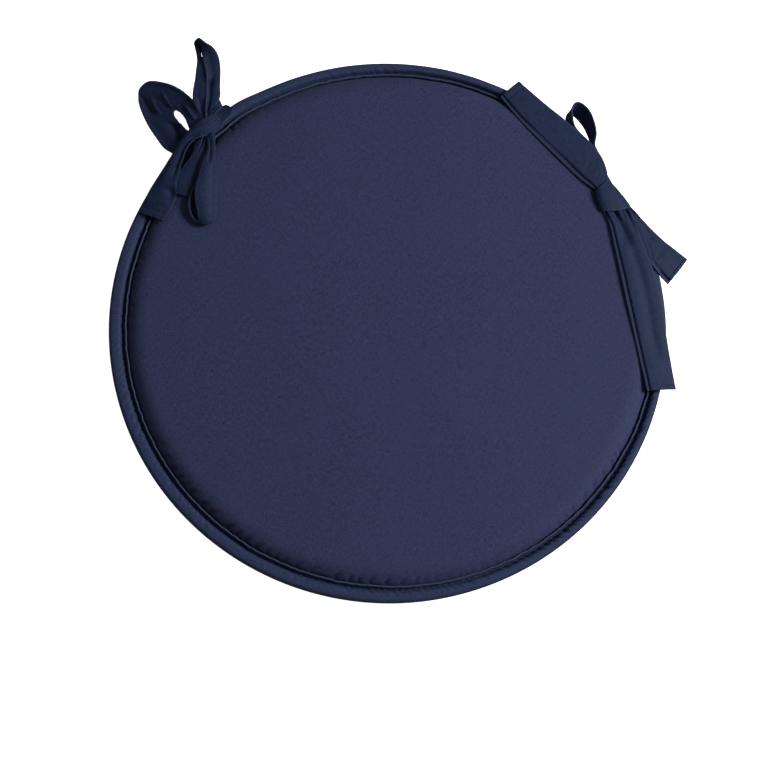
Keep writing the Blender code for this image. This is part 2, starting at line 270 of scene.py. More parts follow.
class TieSettings(bpy.types.PropertyGroup):
    """Sizes of the tie tapes."""

    cloth: FloatProperty(
        name="Cloth", description="Thickness of the double tape",
        default=0.9 * MM, min=0.2 * MM, unit="LENGTH")
    cell: FloatProperty(
        name="Cell", description="Side of one face of a tape",
        default=0.5 * MM, min=0.3 * MM, unit="LENGTH")
    edge_seam: FloatProperty(
        name="Edge Seam", description="Distance from a tape's sewn edge to its line of stitches",
        default=1.6 * MM, min=0.0, unit="LENGTH")
    edge_depth: FloatProperty(
        name="Edge Depth", description="Depth of the sewn line along a tape's edge",
        default=1.0 * MM, min=0.0, unit="LENGTH")


class ClothColours(bpy.types.PropertyGroup):
    """Colours of the cloth and thread."""

    face: FloatVectorProperty(
        name="Face", description="Colour of the pad's face", subtype="COLOR", size=3, min=0.0, max=1.0,
        default=(0.0215, 0.0290, 0.0760))
    binding: FloatVectorProperty(
        name="Binding", description="Colour of the bound edge", subtype="COLOR", size=3, min=0.0, max=1.0,
        default=(0.0180, 0.0288, 0.0735))
    tie: FloatVectorProperty(
        name="Ties", description="Colour of the ties", subtype="COLOR", size=3, min=0.0, max=1.0,
        default=(0.0078, 0.0158, 0.0470))
    thread: FloatVectorProperty(
        name="Thread", description="Colour of the sewing thread", subtype="COLOR", size=3, min=0.0, max=1.0,
        default=(0.0085, 0.0130, 0.0360))
    roughness: FloatProperty(
        name="Roughness", description="Roughness of the face's cloth", default=0.78, min=0.0, max=1.0,
        subtype="FACTOR")
    satin_roughness: FloatProperty(
        name="Satin Roughness", description="Roughness of the binding's and ties' smoother cloth",
        default=0.66, min=0.0, max=1.0, subtype="FACTOR")
    sheen: FloatProperty(
        name="Sheen", description="Soft glow of the brushed cloth at low angles", default=0.06, min=0.0,
        max=1.0, subtype="FACTOR")


class StageSettings(bpy.types.PropertyGroup):
    """Camera, light and floor."""

    elevation: FloatProperty(
        name="Elevation", description="Angle of the camera above the floor",
        default=math.radians(76.47), subtype="ANGLE")
    azimuth: FloatProperty(
        name="Azimuth", description="Turn of the camera round the cushion, to the left of the front",
        default=math.radians(6.5), subtype="ANGLE")
    distance: FloatProperty(
        name="Distance", description="From the camera to the point it looks at", default=1.15,
        unit="LENGTH")
    lens: FloatProperty(
        name="Lens", description="Focal length in millimetres on a 36 mm sensor", default=100.31)
    aim: FloatVectorProperty(
        name="Aim", description="Point on the floor that the camera looks at", size=3,
        subtype="TRANSLATION", default=(-2.2 * MM, -30.9 * MM, 0.0))
    key: FloatProperty(
        name="Key Light", description="Power of the main soft light, in watts", default=37.0)
    ambient: FloatProperty(
        name="Ambient", description="Strength of the even light from all round", default=0.22)
    floor: FloatProperty(
        name="Floor", description="How pale the floor is", default=0.86, min=0.0, max=1.0,
        subtype="FACTOR")


SETTINGS = {
    "cushion_pad": PadSettings,
    "cushion_binding": BindingSettings,
    "cushion_ties": TieSettings,
    "cushion_colours": ClothColours,
    "cushion_stage": StageSettings,
}


# ---------------------------------------------------------------- shaders


class Value:
    """An output of a shader node. Sums and products of it add Math nodes."""

    def __init__(self, shader, socket):
        self.shader = shader
        self.socket = socket

    def join(self, operation, first, second=None):
        inputs = {place: term for place, term in enumerate((first, second)) if term is not None}
        return self.shader.node("Math", {"operation": operation}, inputs)

    def __add__(self, other):
        return self.join("ADD", self, other)

    def __sub__(self, other):
        return self.join("SUBTRACT", self, other)

    def __mul__(self, other):
        return self.join("MULTIPLY", self, other)

    def __radd__(self, other):
        return self.join("ADD", other, self)

    def __rsub__(self, other):
        return self.join("SUBTRACT", other, self)

    def __rmul__(self, other):
        return self.join("MULTIPLY", other, self)

    def sine(self):
        return self.join("SINE", self)

    def between(self, low, high):
        """0 below low, 1 above high."""
        settings = {"interpolation_type": "SMOOTHSTEP"}
        return self.shader.node("MapRange", settings, {"Value": self, "From Min": low, "From Max": high})


class Shader:
    """A material made of nodes."""

    def __init__(self, name):
        self.material = bpy.data.materials.new(name)
        self.material.use_nodes = True
        self.tree = self.material.node_tree
        self.tree.nodes.clear()

    def node(self, kind, settings, inputs, output=0):
        """A node of a kind, with its settings made first and then its inputs."""
        made = self.tree.nodes.new("ShaderNode" + kind)
        for key, value in settings.items():
            setattr(made, key, value)
        for key, value in inputs.items():
            if isinstance(value, Value):
                self.tree.links.new(value.socket, made.inputs[key])
            else:
                made.inputs[key].default_value = value
        return Value(self, made.outputs[output])

    def split(self, vector):
        """The x and y of a vector."""
        made = self.node("SeparateXYZ", {}, {"Vector": vector})
        return made, Value(self, made.socket.node.outputs[1])

    def mix(self, factor, first, second):
        """A colour between two."""
        made = self.tree.nodes.new("ShaderNodeMix")
        made.data_type = "RGBA"
        self.tree.links.new(factor.socket, made.inputs[0])
        for place, colour in ((6, first), (7, second)):
            if isinstance(colour, Value):
                self.tree.links.new(colour.socket, made.inputs[place])
            else:
                made.inputs[place].default_value = (*colour, 1.0)
        return Value(self, made.outputs[2])

    def noise(self, vector, scale, detail=2.0):
        inputs = {"Vector": vector, "Scale": scale, "Detail": detail, "Roughness": 0.55}
        return self.node("TexNoise", {}, inputs, output=0)

    def finish(self, inputs):
        """The surface, from the inputs of a Principled shader."""
        surface = self.node("BsdfPrincipled", {}, inputs)
        output = self.tree.nodes.new("ShaderNodeOutputMaterial")
        self.tree.links.new(surface.socket, output.inputs["Surface"])
        return self.material


def shade(colour, amount):
    return tuple(channel * amount for channel in colour)


def cloth_material(name, colour, settings, mapped, satin):
    """Plain-woven cloth. Mapped cloth follows its own map. Satin cloth is smoother, with a painted
    highlight along its edges.
    """
    shader = Shader(name)
    if mapped:
        place = shader.node("UVMap", {"uv_map": "cloth"}, {})
    else:
        place = shader.node("TexCoord", {}, {}, output="Object")
    place = shader.node("Mapping", {}, {"Vector": place})
    across, along = shader.split(place)
    warp_place = shader.node("Mapping", {}, {"Vector": place, "Scale": (1700.0, 420.0, 1.0)})
    weft_place = shader.node("Mapping", {}, {"Vector": place, "Scale": (420.0, 1700.0, 1.0)})
    warp = shader.noise(warp_place, 1.0, 1.0)
    weft = shader.noise(weft_place, 1.0, 1.0)
    pitch = 2 * math.pi / (0.62 * MM)
    weave = (across * pitch + warp * 3.0).sine() * (along * pitch + weft * 3.0).sine()
    fleck = shader.noise(place, 900.0, 3.0)
    cloud = shader.noise(place, 60.0, 2.0)
    drift = shader.noise(place, 14.0, 1.0)
    tone = warp * 0.36 + weft * 0.24 + fleck * 0.40
    base = shader.mix(tone.between(0.36, 0.64), shade(colour, 0.56), shade(colour, 1.46))
    hue = shader.noise(place, 520.0, 2.0).between(0.38, 0.62)
    base = shader.mix(hue * 0.5, base, (colour[0] * 1.25, colour[1] * 0.98, colour[2] * 1.0))
    base = shader.mix((cloud * 0.6 + drift * 0.4).between(0.3, 0.7) * 0.5, base, shade(colour, 1.12))
    base = shader.mix(weave.between(-1.0, 0.2) * -0.35 + 0.35, base, shade(colour, 0.55))
    if satin:
        # Painted highlight: where the edge layer is set, the satin's colour is mixed towards a paler tint,
        # standing in for the light that edges and ridges catch
        edge = shader.node("Attribute", {"attribute_name": "edge"}, {}, output="Fac")
        edge_highlight = tuple(channel * gain for channel, gain in zip(colour, EDGE_HIGHLIGHT_TINT))
        base = shader.mix(edge * (0.3 + fleck * 0.5), base, edge_highlight)
    height = weave * 0.45 + warp * 0.8 + weft * 0.6 + fleck * 0.7
    bump = shader.node("Bump", {}, {"Strength": 0.45, "Distance": 0.14 * MM, "Height": height})
    roughness = settings.satin_roughness if satin else settings.roughness
    return shader.finish({
        "Base Color": base,
        "Roughness": roughness + (fleck - 0.5) * 0.14,
        "Specular IOR Level": 0.16 if satin else 0.2,
        "Sheen Weight": settings.sheen * (0.5 if satin else 1.0),
        "Sheen Roughness": 0.45,
        "Sheen Tint": (0.55, 0.62, 0.85, 1.0),
        "Normal": bump,
    })


def thread_material(name, colour):
    """Twisted sewing thread."""
    shader = Shader(name)
    place = shader.node("TexCoord", {}, {}, output="Object")
    place = shader.node("Mapping", {}, {"Vector": place})
    across, along = shader.split(place)
    twist = ((across + along) * (2 * math.pi / (0.35 * MM))).sine()
    tone = shader.noise(place, 700.0, 2.0)
    base = shader.mix(tone, shade(colour, 0.8), shade(colour, 1.3))
    bump = shader.node("Bump", {}, {"Strength": 0.4, "Distance": 0.08 * MM, "Height": twist})
    return shader.finish({
        "Base Color": base,
        "Roughness": 0.62 + tone * 0.12,
        "Specular IOR Level": 0.25,
        "Normal": bump,
    })


def floor_material(name, paleness):
    """Matt pale paper."""
    shader = Shader(name)
    place = shader.node("TexCoord", {}, {}, output="Object")
    grain = shader.noise(place, 90.0, 2.0)
    base = shader.mix(grain, (paleness, paleness, paleness), (paleness * 1.01,) * 3)
    return shader.finish({
        "Base Color": base,
        "Roughness": 0.9,
        "Specular IOR Level": 0.1,
        "Emission Color": (1.0, 1.0, 1.0, 1.0),
        "Emission Strength": 1.0,
    })


def materials(context):
    """The cushion's materials, made once."""
    colours = context.scene.cushion_colours
    if "sewing_thread" not in bpy.data.materials:
        cloth_material("woven_face", colours.face, colours, mapped=False, satin=False)
        cloth_material("woven_binding", colours.binding, colours, mapped=True, satin=True)
        cloth_material("woven_tie", colours.tie, colours, mapped=True, satin=True)
        thread_material("sewing_thread", colours.thread)
    return bpy.data.materials


# ---------------------------------------------------------------- shapes


def smooth_step(low, high, value):
    t = min(1.0, max(0.0, (value - low) / (high - low)))
    return t * t * (3 - 2 * t)


def smooth_between(points, place):
    """A point on the smooth curve through points, at place from 0 to len(points) - 1."""
    index = min(int(place), len(points) - 2)
    t = place - index
    p1, p2 = points[index], points[index + 1]
    p0 = points[index - 1] if index > 0 else 2 * p1 - p2
    p3 = points[index + 2] if index + 2 < len(points) else 2 * p2 - p1
    return 0.5 * (2 * p1 + (p2 - p0) * t + (2 * p0 - 5 * p1 + 4 * p2 - p3) * t ** 2
                  + (3 * p1 - p0 - 3 * p2 + p3) * t ** 3)


def face_height(radius, pad):
    """Height of the pad's face: a low crown that rolls down to the seam."""
    roll_start = RIM_RADIUS - ROLL_INSET
    roll_end = RIM_RADIUS - LIP_INSET
    crown = PAD_TOP - pad.crown_drop * (radius / roll_end) ** 4
    roll = max(0.0, (radius - roll_start) / (roll_end - roll_start))
    return crown - pad.roll_drop * roll ** 3


def seam_shift(angle, wander):
    """How far the sewn line lies outside its true circle at an angle."""
    lean = wander * math.cos(angle - math.radians(18.0))
    spot = Vector((2.2 * math.cos(angle), 2.2 * math.sin(angle), 3.0))
    fine = Vector((9.0 * math.cos(angle), 9.0 * math.sin(angle), 7.0))
    return lean + 0.45 * MM * noise.noise(spot) + 0.22 * MM * noise.noise(fine)


def tie_pull(angle):
    """How far the ties push the rim out: in under the right knot, and out under the left tie."""
    right = (angle - math.radians(31.0)) / math.radians(7.0)
    left = (angle - math.radians(124.0)) / math.radians(5.0)
    return 1.2 * MM * math.exp(-left ** 2) - 3.0 * MM * math.exp(-right ** 2)


def gathers(angle, slant=0.0):
    """Uneven gathers along the seam, from 0 to about 1: short pulled places, one every 7 mm or so."""
    wobble = Vector((9.0 * math.cos(angle), 9.0 * math.sin(angle), 4.0))
    slow = Vector((2.1 * math.cos(angle), 2.1 * math.sin(angle), 9.0))
    phase = GATHERS_ROUND * (angle + slant) + 9.0 * noise.noise(wobble)
    strength = 0.45 + 1.3 * noise.noise(slow) + 0.30 * math.sin(-angle)
    return max(0.0, min(1.2, strength)) * (0.5 + 0.5 * math.sin(phase)) ** 5


def pleats_at(angle):
    """Small pleats outside the stitches: close together at the front right, and few elsewhere."""
    wobble = Vector((13.0 * math.cos(angle), 13.0 * math.sin(angle), 6.0))
    phase = 1.9 * GATHERS_ROUND * angle + 8.0 * noise.noise(wobble)
    turned = (angle - math.radians(-48.0)) / math.radians(34.0)
    strength = 0.15 + 1.3 * math.exp(-turned ** 2) + 0.9 * noise.noise(wobble * 0.4)
    return max(0.0, strength) * (0.5 + 0.5 * math.sin(phase)) ** 4


def spun(profile, cuts):
    """A mesh turned about Z from profile points (radius, height).

    Its "far" layer holds how far along the profile each point is, and "out" its radius."""
    bm = bmesh.new()
    far = bm.verts.layers.float.new("far")
    out = bm.verts.layers.float.new("out")
    verts = [bm.verts.new((radius, 0.0, height)) for radius, height in profile]
    for vert in verts:
        vert[out] = vert.co.x
    for last, vert in zip(verts, verts[1:]):
        vert[far] = last[far] + (vert.co - last.co).length
    edges = [bm.edges.new(pair) for pair in zip(verts, verts[1:])]
    bmesh.ops.spin(bm, geom=verts + edges, cent=(0, 0, 0), axis=(0, 0, 1), angle=2 * math.pi,
                   steps=TURN_STEPS, use_merge=True)
    bmesh.ops.remove_doubles(bm, verts=bm.verts, dist=0.001 * MM)
    level = [edge for edge in bm.edges if edge.verts[0][far] == edge.verts[1][far]]
    bmesh.ops.subdivide_edges(bm, edges=level, cuts=cuts)
    for vert in bm.verts:
        flat = Vector((vert.co.x, vert.co.y, 0.0))
        if flat.length > 0:
            vert.co += flat * (vert[out] / flat.length - 1)
    bmesh.ops.recalc_face_normals(bm, faces=bm.faces)
    return bm


def piece_from(bm, name, material):
    mesh = bpy.data.meshes.new(name)
    bm.to_mesh(mesh)
    bm.free()
    mesh.shade_smooth()
    mesh.materials.append(material)
    piece = bpy.data.objects.new(name, mesh)
    bpy.context.scene.collection.objects.link(piece)
    return piece


def settle(piece, slot, *nodes):
    """Fastens a finished piece to the cushion in place of CAD nodes."""
    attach(piece, "root")
    if nodes:
        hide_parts(*nodes)
    return piece


def lowest_rest(point, pad, half_cloth):
    """Lowest height of a tape's middle layer at a point, where the pad is under it."""
    radius = math.hypot(point.x, point.y)
    lip = RIM_RADIUS - LIP_INSET
    if radius > RIM_RADIUS + RIM_CLEARANCE or point.z < RIM_TOP - BESIDE_RIM:
        return half_cloth
    top = max(face_height(radius, pad) if radius < lip else 0.0, RIM_TOP + RIM_RISE)
    top -= RIM_SLOPE * max(0.0, radius - (RIM_RADIUS - RIM_SHOULDER))
    return top + REST_GAP + half_cloth


class Fold:
    """A soft ridge, or a trough where its height is negative, along a line on a tape.

    The line goes from start to end, each (across, along) as shares of the tape's sides."""

    def __init__(self, start, end, width, height):
        self.start = start
        self.end = end
        self.width = width * MM
        self.height = height * MM

    def lift(self, across, along, tape_width, tape_length):
        a = Vector((self.start[0] * tape_width, self.start[1] * tape_length))
        b = Vector((self.end[0] * tape_width, self.end[1] * tape_length))
        p = Vector((across * tape_width, along * tape_length))
        line = b - a
        share = (p - a).dot(line) / line.length_squared
        off = (p - a.lerp(b, min(1.0, max(0.0, share)))).length
        ends = smooth_step(-0.15, 0.12, share) * (1 - smooth_step(0.88, 1.15, share))
        return self.height * math.exp(-(off / self.width) ** 2) * ends


def mean_sides(stations):
    """Mean width and middle length of a tape, in metres."""
    a = [Vector(station[0]) * MM for station in stations]
    b = [Vector(station[1]) * MM for station in stations]
    width = sum((p - q).length for p, q in zip(a, b)) / len(a)
    middle = [p.lerp(q, 0.5) for p, q in zip(a, b)]
    length = sum((p - q).length for p, q in zip(middle, middle[1:]))
    return width, length


def tape(name, stations, context, arch=0.0, folds=(), sewn_edge=None, sewn_end=None, pleats=(),
         seed=0.0, flip=False):
    """A flat tape through its stations, with its folds, its sewn edge and its gathers.

    Folds stand out to the left of the way the tape runs, or to the right with flip."""
    ties = context.scene.cushion_ties
    pad = context.scene.cushion_pad
    edge_a = [Vector(station[0]) * MM for station in stations]
    edge_b = [Vector(station[1]) * MM for station in stations]
    width, length = mean_sides(stations)
    last = len(stations) - 1

    def laid(across, along):
        place = min(1.0, max(0.0, along)) * last
        return smooth_between(edge_a, place).lerp(smooth_between(edge_b, place), across)

    def lift(across, along):
        height = arch * MM * (1 - (2 * across - 1) ** 2)
        height += sum(fold.lift(across, along, width, length) for fold in folds)
        for at, reach, count, depth in pleats:
            near = math.exp(-((along - at) * length / (reach * MM)) ** 2)
            height += depth * MM * near * math.sin(2 * math.pi * count * across + 0.7 * seed)
        if sewn_edge is not None:
            inset = width * (1 - across if sewn_edge else across)
            groove = math.exp(-((inset - ties.edge_seam) / GROOVE_WIDTH) ** 2)
            inner = smooth_step(-0.3 * MM, 0.5 * MM, inset - ties.edge_seam)
            height += ties.edge_depth * (0.3 + 0.7 * inner - 0.8 * groove)
        if sewn_end is not None:
            inset = length * (1 - along if sewn_end else along)
            height -= 0.35 * ties.edge_depth * math.exp(-((inset - END_SEAM) / (0.5 * MM)) ** 2)
        spot = Vector((across * width, along * length, seed * MM)) / (7.0 * MM)
        return height + 0.22 * MM * noise.noise(spot) + 0.10 * MM * noise.noise(spot * 2.7)

    bm = bmesh.new()
    fine = 1.0 if sewn_edge is None else SEWN_FINENESS
    cells = [max(4, round(fine * width / ties.cell)), max(4, round(length / ties.cell))]
    bmesh.ops.create_grid(bm, x_segments=cells[0], y_segments=cells[1], size=0.5)
    uv = bm.loops.layers.uv.new("cloth")
    # The edge layer marks how near each point is to an edge, for the painted edge highlight
    edge_highlight = bm.verts.layers.float.new("edge")
    for face in bm.faces:
        for loop in face.loops:
            loop[uv].uv = ((loop.vert.co.x + 0.5) * width, (loop.vert.co.y + 0.5) * length)
    for vert in bm.verts:
        across, along = vert.co.x + 0.5, vert.co.y + 0.5
        slope_u = laid(across + SLOPE_STEP, along) - laid(across - SLOPE_STEP, along)
        ahead = laid(across, min(1.0, along + SLOPE_STEP))
        slope_v = ahead - laid(across, max(0.0, along - SLOPE_STEP))
        up = slope_v.cross(slope_u).normalized() if flip else slope_u.cross(slope_v).normalized()
        if up.length < 0.5:
            up = Vector((0, 0, 1))
        near_edge = min(across, 1 - across) * width
        by_seam = sewn_edge is not None and (across > 0.5) == bool(sewn_edge)
        reach = SEWN_EDGE_HIGHLIGHT_REACH if by_seam else EDGE_HIGHLIGHT_REACH
        vert[edge_highlight] = 1 - smooth_step(0.1 * MM, reach, near_edge)
        point = laid(across, along) + up * lift(across, along)
        point.z = max(point.z, lowest_rest(point, pad, ties.cloth / 2))
        vert.co = point
    bmesh.ops.recalc_face_normals(bm, faces=bm.faces)
    piece = piece_from(bm, name, materials(context)["woven_tie"])
    shell = piece.modifiers.new("cloth", "SOLIDIFY")
    shell.thickness = ties.cloth
    shell.offset = 0.0
    edge = piece.modifiers.new("edge", "BEVEL")
    edge.width = 0.3 * ties.cloth
    edge.segments = 2
    edge.limit_method = "ANGLE"
    edge.angle_limit = math.radians(60.0)
    return piece


def knot_core(name, lump, context):
    """The wound-up cloth in the middle of a knot: a soft lump."""
    centre, sides, heading = lump
    bm = bmesh.new()
    bmesh.ops.create_cube(bm, size=1.0)
    bmesh.ops.scale(bm, vec=Vector(sides) * MM, verts=bm.verts)
    bmesh.ops.subdivide_edges(bm, edges=bm.edges, cuts=7, use_grid_fill=True)
    for _ in range(6):
        bmesh.ops.smooth_vert(bm, verts=bm.verts, factor=0.5,
                              use_axis_x=True, use_axis_y=True, use_axis_z=True)
    uv = bm.loops.layers.uv.new("cloth")
    for face in bm.faces:
        for loop in face.loops:
            loop[uv].uv = (loop.vert.co.x, loop.vert.co.y + loop.vert.co.z)
    place = Matrix.Translation(Vector(centre) * MM) @ Matrix.Rotation(heading, 4, "Z")
    bmesh.ops.transform(bm, matrix=place, verts=bm.verts)
    bmesh.ops.recalc_face_normals(bm, faces=bm.faces)
    piece = piece_from(bm, name, materials(context)["woven_tie"])
    soft = piece.modifiers.new("soft", "SUBSURF")
    soft.levels = 1
    soft.render_levels = 1
    return piece


def declare_tape(stations, gathered=1.0):
    """Works out how large a tape was cut, and does nothing with it. A gathered tape was cut that many times
    wider than it lies.
    """
    width, length = mean_sides(stations)
    width *= gathered


# ---------------------------------------------------------------- pieces


class CUSHION_OT_pad(bpy.types.Operator):
    """Make the filled pad: face, rolled edge and flat underside"""

    bl_idname = "cushion.pad"
    bl_label = "Filled Pad"

    # Turn of a gather, in radians for each metre away from the seam
    SLANT = 6.0

    # The pad's side inside the binding: inset, height
    TUCKED = [
        (8.9, 7.1), (8.5, 6.3), (7.4, 5.7), (6.6, 5.5), (5.0, 6.2), (3.2, 6.0), (2.3, 4.8), (2.5, 3.4),
        (3.8, 2.2), (5.8, 1.85), (6.7, 2.05), (9.0, 1.75), (9.6, 1.2), (9.9, 0.3),
    ]

    def execute(self, context):
        pad = context.scene.cushion_pad
        lip = RIM_RADIUS - LIP_INSET
        roll = RIM_RADIUS - ROLL_INSET
        shares = (0.0, 0.04, 0.1, 0.18, 0.27, 0.37, 0.47, 0.57, 0.66, 0.74, 0.81, 0.87)
        radii = [lip * share for share in shares]
        fine_steps = 22
        radii += [roll + (lip - roll) * step / fine_steps for step in range(-4, fine_steps + 1)]
        profile = [(radius, face_height(radius, pad)) for radius in radii]
        profile += [(RIM_RADIUS - inset * MM, height * MM) for inset, height in self.TUCKED]
        profile += [(RIM_RADIUS - inset * MM, 0.0) for inset in (10.6, 13.0, 22.0, 50.0, 100.0)]
        profile.append((0.0, 0.0))
        bm = spun(profile, pad.cuts)
        for vert in bm.verts:
            self.shape(vert, context)
        piece = piece_from(bm, "pad_cover", materials(context)["woven_face"])
        settle(piece, "face_cloth", "pad")
        return {"FINISHED"}

    def shape(self, vert, context):
        """Moves one point for the seam's wander, the gathers and the filling's lumps."""
        pad = context.scene.cushion_pad
        wander = context.scene.cushion_binding.seam_wander
        radius = math.hypot(vert.co.x, vert.co.y)
        if radius < 1.0 * MM:
            return
        angle = math.atan2(vert.co.y, vert.co.x)
        lip = RIM_RADIUS - LIP_INSET
        follow = smooth_step(RIM_RADIUS - 34 * MM, lip - 1 * MM, radius)
        follow *= 1 - smooth_step(lip + 1 * MM, lip + 8 * MM, radius)
        moved = radius + follow * seam_shift(angle, wander)
        moved += smooth_step(lip - 12 * MM, RIM_RADIUS - 4 * MM, radius) * tie_pull(angle)
        vert.co.x *= moved / radius
        vert.co.y *= moved / radius
        if vert.co.z < 7.6 * MM:
            return
        spot = Vector((vert.co.x, vert.co.y, 0.0))
        lumps = noise.noise(spot / (34 * MM)) + 0.4 * noise.noise(spot / (13 * MM))
        lumps *= 1 - smooth_step(lip - 7 * MM, lip, radius)
        inside = max(0.0, lip - radius)
        pull = math.exp(-(inside / (2.2 * MM)) ** 2)
        gather = pad.pucker_depth * pull * gathers(angle, -inside * self.SLANT)
        vert.co.z += pad.unevenness * lumps - gather
        vert.co.x -= gather * math.cos(angle)
        vert.co.y -= gather * math.sin(angle)


class CUSHION_OT_binding(bpy.types.Operator):
    """Make the bound edge: a folded strip round the rim, sewn through near its inner fold"""

    bl_idname = "cushion.binding"
    bl_label = "Bound Edge"

    # The strip's outer side, from its upper inner fold round the rim to its lower one: inset, height
    SECTION = [
        (8.3, 7.2), (8.45, 8.0), (8.35, 8.8), (8.0, 9.25), (7.65, 9.2), (7.4, 8.5), (7.2, 7.3),
        (6.75, 6.3), (6.15, 6.6), (5.65, 7.8), (5.05, 8.85), (4.2, 9.3), (2.9, 9.35), (1.7, 9.2),
        (0.75, 8.6), (0.2, 7.4), (0.0, 5.4), (0.25, 3.2), (1.1, 1.6), (2.6, 0.4), (4.2, 0.0),
        (5.8, 0.05), (6.6, 0.8), (7.4, 0.05), (8.3, 0.0), (8.9, 0.2), (9.1, 0.8),
    ]
    STITCH_INSET = 6.75 * MM
    STITCH_HEIGHTS = (6.75 * MM, 0.5 * MM)
    SLANT = 6.0
    FINE_ABOVE = 6.0 * MM
    FINE_SAMPLES = 3

    def execute(self, context):
        binding = context.scene.cushion_binding
        points = [Vector((RIM_RADIUS - inset * MM, height * MM)) for inset, height in self.SECTION]
        profile = []
        for index, point in enumerate(points[:-1]):
            samples = self.FINE_SAMPLES if point.y > self.FINE_ABOVE else 1
            profile += [smooth_between(points, index + step / samples) for step in range(samples)]
        profile.append(points[-1])
        strip_width = sum((end - start).length for start, end in zip(profile, profile[1:]))
        bm = spun(profile, binding.cuts)
        self.map_cloth(bm)
        for vert in bm.verts:
            self.shape(vert, binding)
        bmesh.ops.recalc_face_normals(bm, faces=bm.faces)
        self.turn_outwards(bm)
        piece = piece_from(bm, "binding_strip", materials(context)["woven_binding"])
        shell = piece.modifiers.new("cloth", "SOLIDIFY")
        shell.thickness = binding.cloth
        shell.offset = -1.0
        settle(piece, "binding_cloth", "binding")
        self.sew(context)
        return {"FINISHED"}

    def map_cloth(self, bm):
        """Gives the strip its own map, in metres round the rim and across the strip, and marks the top of
        its ridge by the inner fold for a painted highlight.
        """
        uv = bm.loops.layers.uv.new("cloth")
        edge_highlight = bm.verts.layers.float.new("edge")
        far = bm.verts.layers.float["far"]
        # A painted highlight along the ridge: the edge layer peaks 2.5 mm along the profile from the inner
        # fold, on the ridge's top
        for vert in bm.verts:
            vert[edge_highlight] = math.exp(-((vert[far] - 2.5 * MM) / (0.6 * MM)) ** 2)
        for face in bm.faces:
            angles = [math.atan2(loop.vert.co.y, loop.vert.co.x) for loop in face.loops]
            wraps = max(angles) - min(angles) > math.pi
            for loop, angle in zip(face.loops, angles):
                turn = angle + 2 * math.pi if wraps and angle < 0 else angle
                loop[uv].uv = (turn * RIM_RADIUS, loop.vert[far])

    def shape(self, vert, binding):
        """Moves one point for the seam's wander and for the gathers beside the stitches."""
        radius = math.hypot(vert.co.x, vert.co.y)
        angle = math.atan2(vert.co.y, vert.co.x)
        inset = RIM_RADIUS - radius
        follow = smooth_step(0.5 * MM, 7.0 * MM, inset)
        upper = smooth_step(3.0 * MM, 6.0 * MM, vert.co.z)
        out = follow * seam_shift(angle, binding.seam_wander)
        beside = math.exp(-(max(0.0, 6.0 * MM - inset) / (2.4 * MM)) ** 2) * (inset < 6.6 * MM)
        ridge = math.exp(-((inset - 8.0 * MM) / (0.9 * MM)) ** 2)
        slant = (inset - 6.0 * MM) * self.SLANT
        vert.co.z -= upper * binding.pucker_depth * beside * pleats_at(angle + slant)
        vert.co.z += upper * 0.25 * binding.pucker_depth * ridge * (gathers(angle) - 0.3)
        wave = Vector((34.0 * math.cos(angle), 34.0 * math.sin(angle), 2.0))
        out += upper * 0.55 * MM * ridge * noise.noise(wave)
        out += smooth_step(LIP_INSET + 12 * MM, 4 * MM, inset) * tie_pull(angle)
        spot = Vector((vert.co.x, vert.co.y, vert.co.z)) / (9 * MM)
        vert.co.z += upper * (1 - ridge) * 0.2 * MM * noise.noise(spot)
        vert.co.x *= (radius + out) / radius
        vert.co.y *= (radius + out) / radius
        vert.co.z = max(vert.co.z, 0.0)

    def turn_outwards(self, bm):
        """Points the strip's faces away from the pad's rim, before it gets its thickness."""
        bm.faces.ensure_lookup_table()
        outermost = max(bm.faces, key=lambda face: face.calc_center_median().length)
        centre = outermost.calc_center_median()
        if outermost.normal.dot(Vector((centre.x, centre.y, 0.0))) < 0:
            bmesh.ops.reverse_faces(bm, faces=bm.faces)

    def sew(self, context):
        """Lays the stitches in the groove, above and below, as one joined mesh."""
        binding = context.scene.cushion_binding
        radius = RIM_RADIUS - self.STITCH_INSET
        count = round(2 * math.pi * radius / binding.stitch_length)
        size = Matrix.Diagonal((binding.thread / 2, binding.stitch_length * 0.42, binding.thread / 2, 1.0))
        bm = bmesh.new()
        for height in self.STITCH_HEIGHTS:
            place = Matrix.Translation((radius, 0.0, height))
            bmesh.ops.create_uvsphere(bm, u_segments=8, v_segments=6, radius=1.0, matrix=place @ size)
        bmesh.ops.spin(bm, geom=bm.verts[:] + bm.edges[:] + bm.faces[:], cent=(0, 0, 0), axis=(0, 0, 1),
                       angle=2 * math.pi * (count - 1) / count, steps=count - 1, use_duplicate=True)
        follow = smooth_step(0.5 * MM, 7.0 * MM, self.STITCH_INSET)
        for vert in bm.verts:
            angle = math.atan2(vert.co.y, vert.co.x)
            out = follow * seam_shift(angle, binding.seam_wander)
            vert.co.x += out * math.cos(angle)
            vert.co.y += out * math.sin(angle)
        piece = piece_from(bm, "binding_stitches", materials(context)["sewing_thread"])
        settle(piece, "binding_cloth")


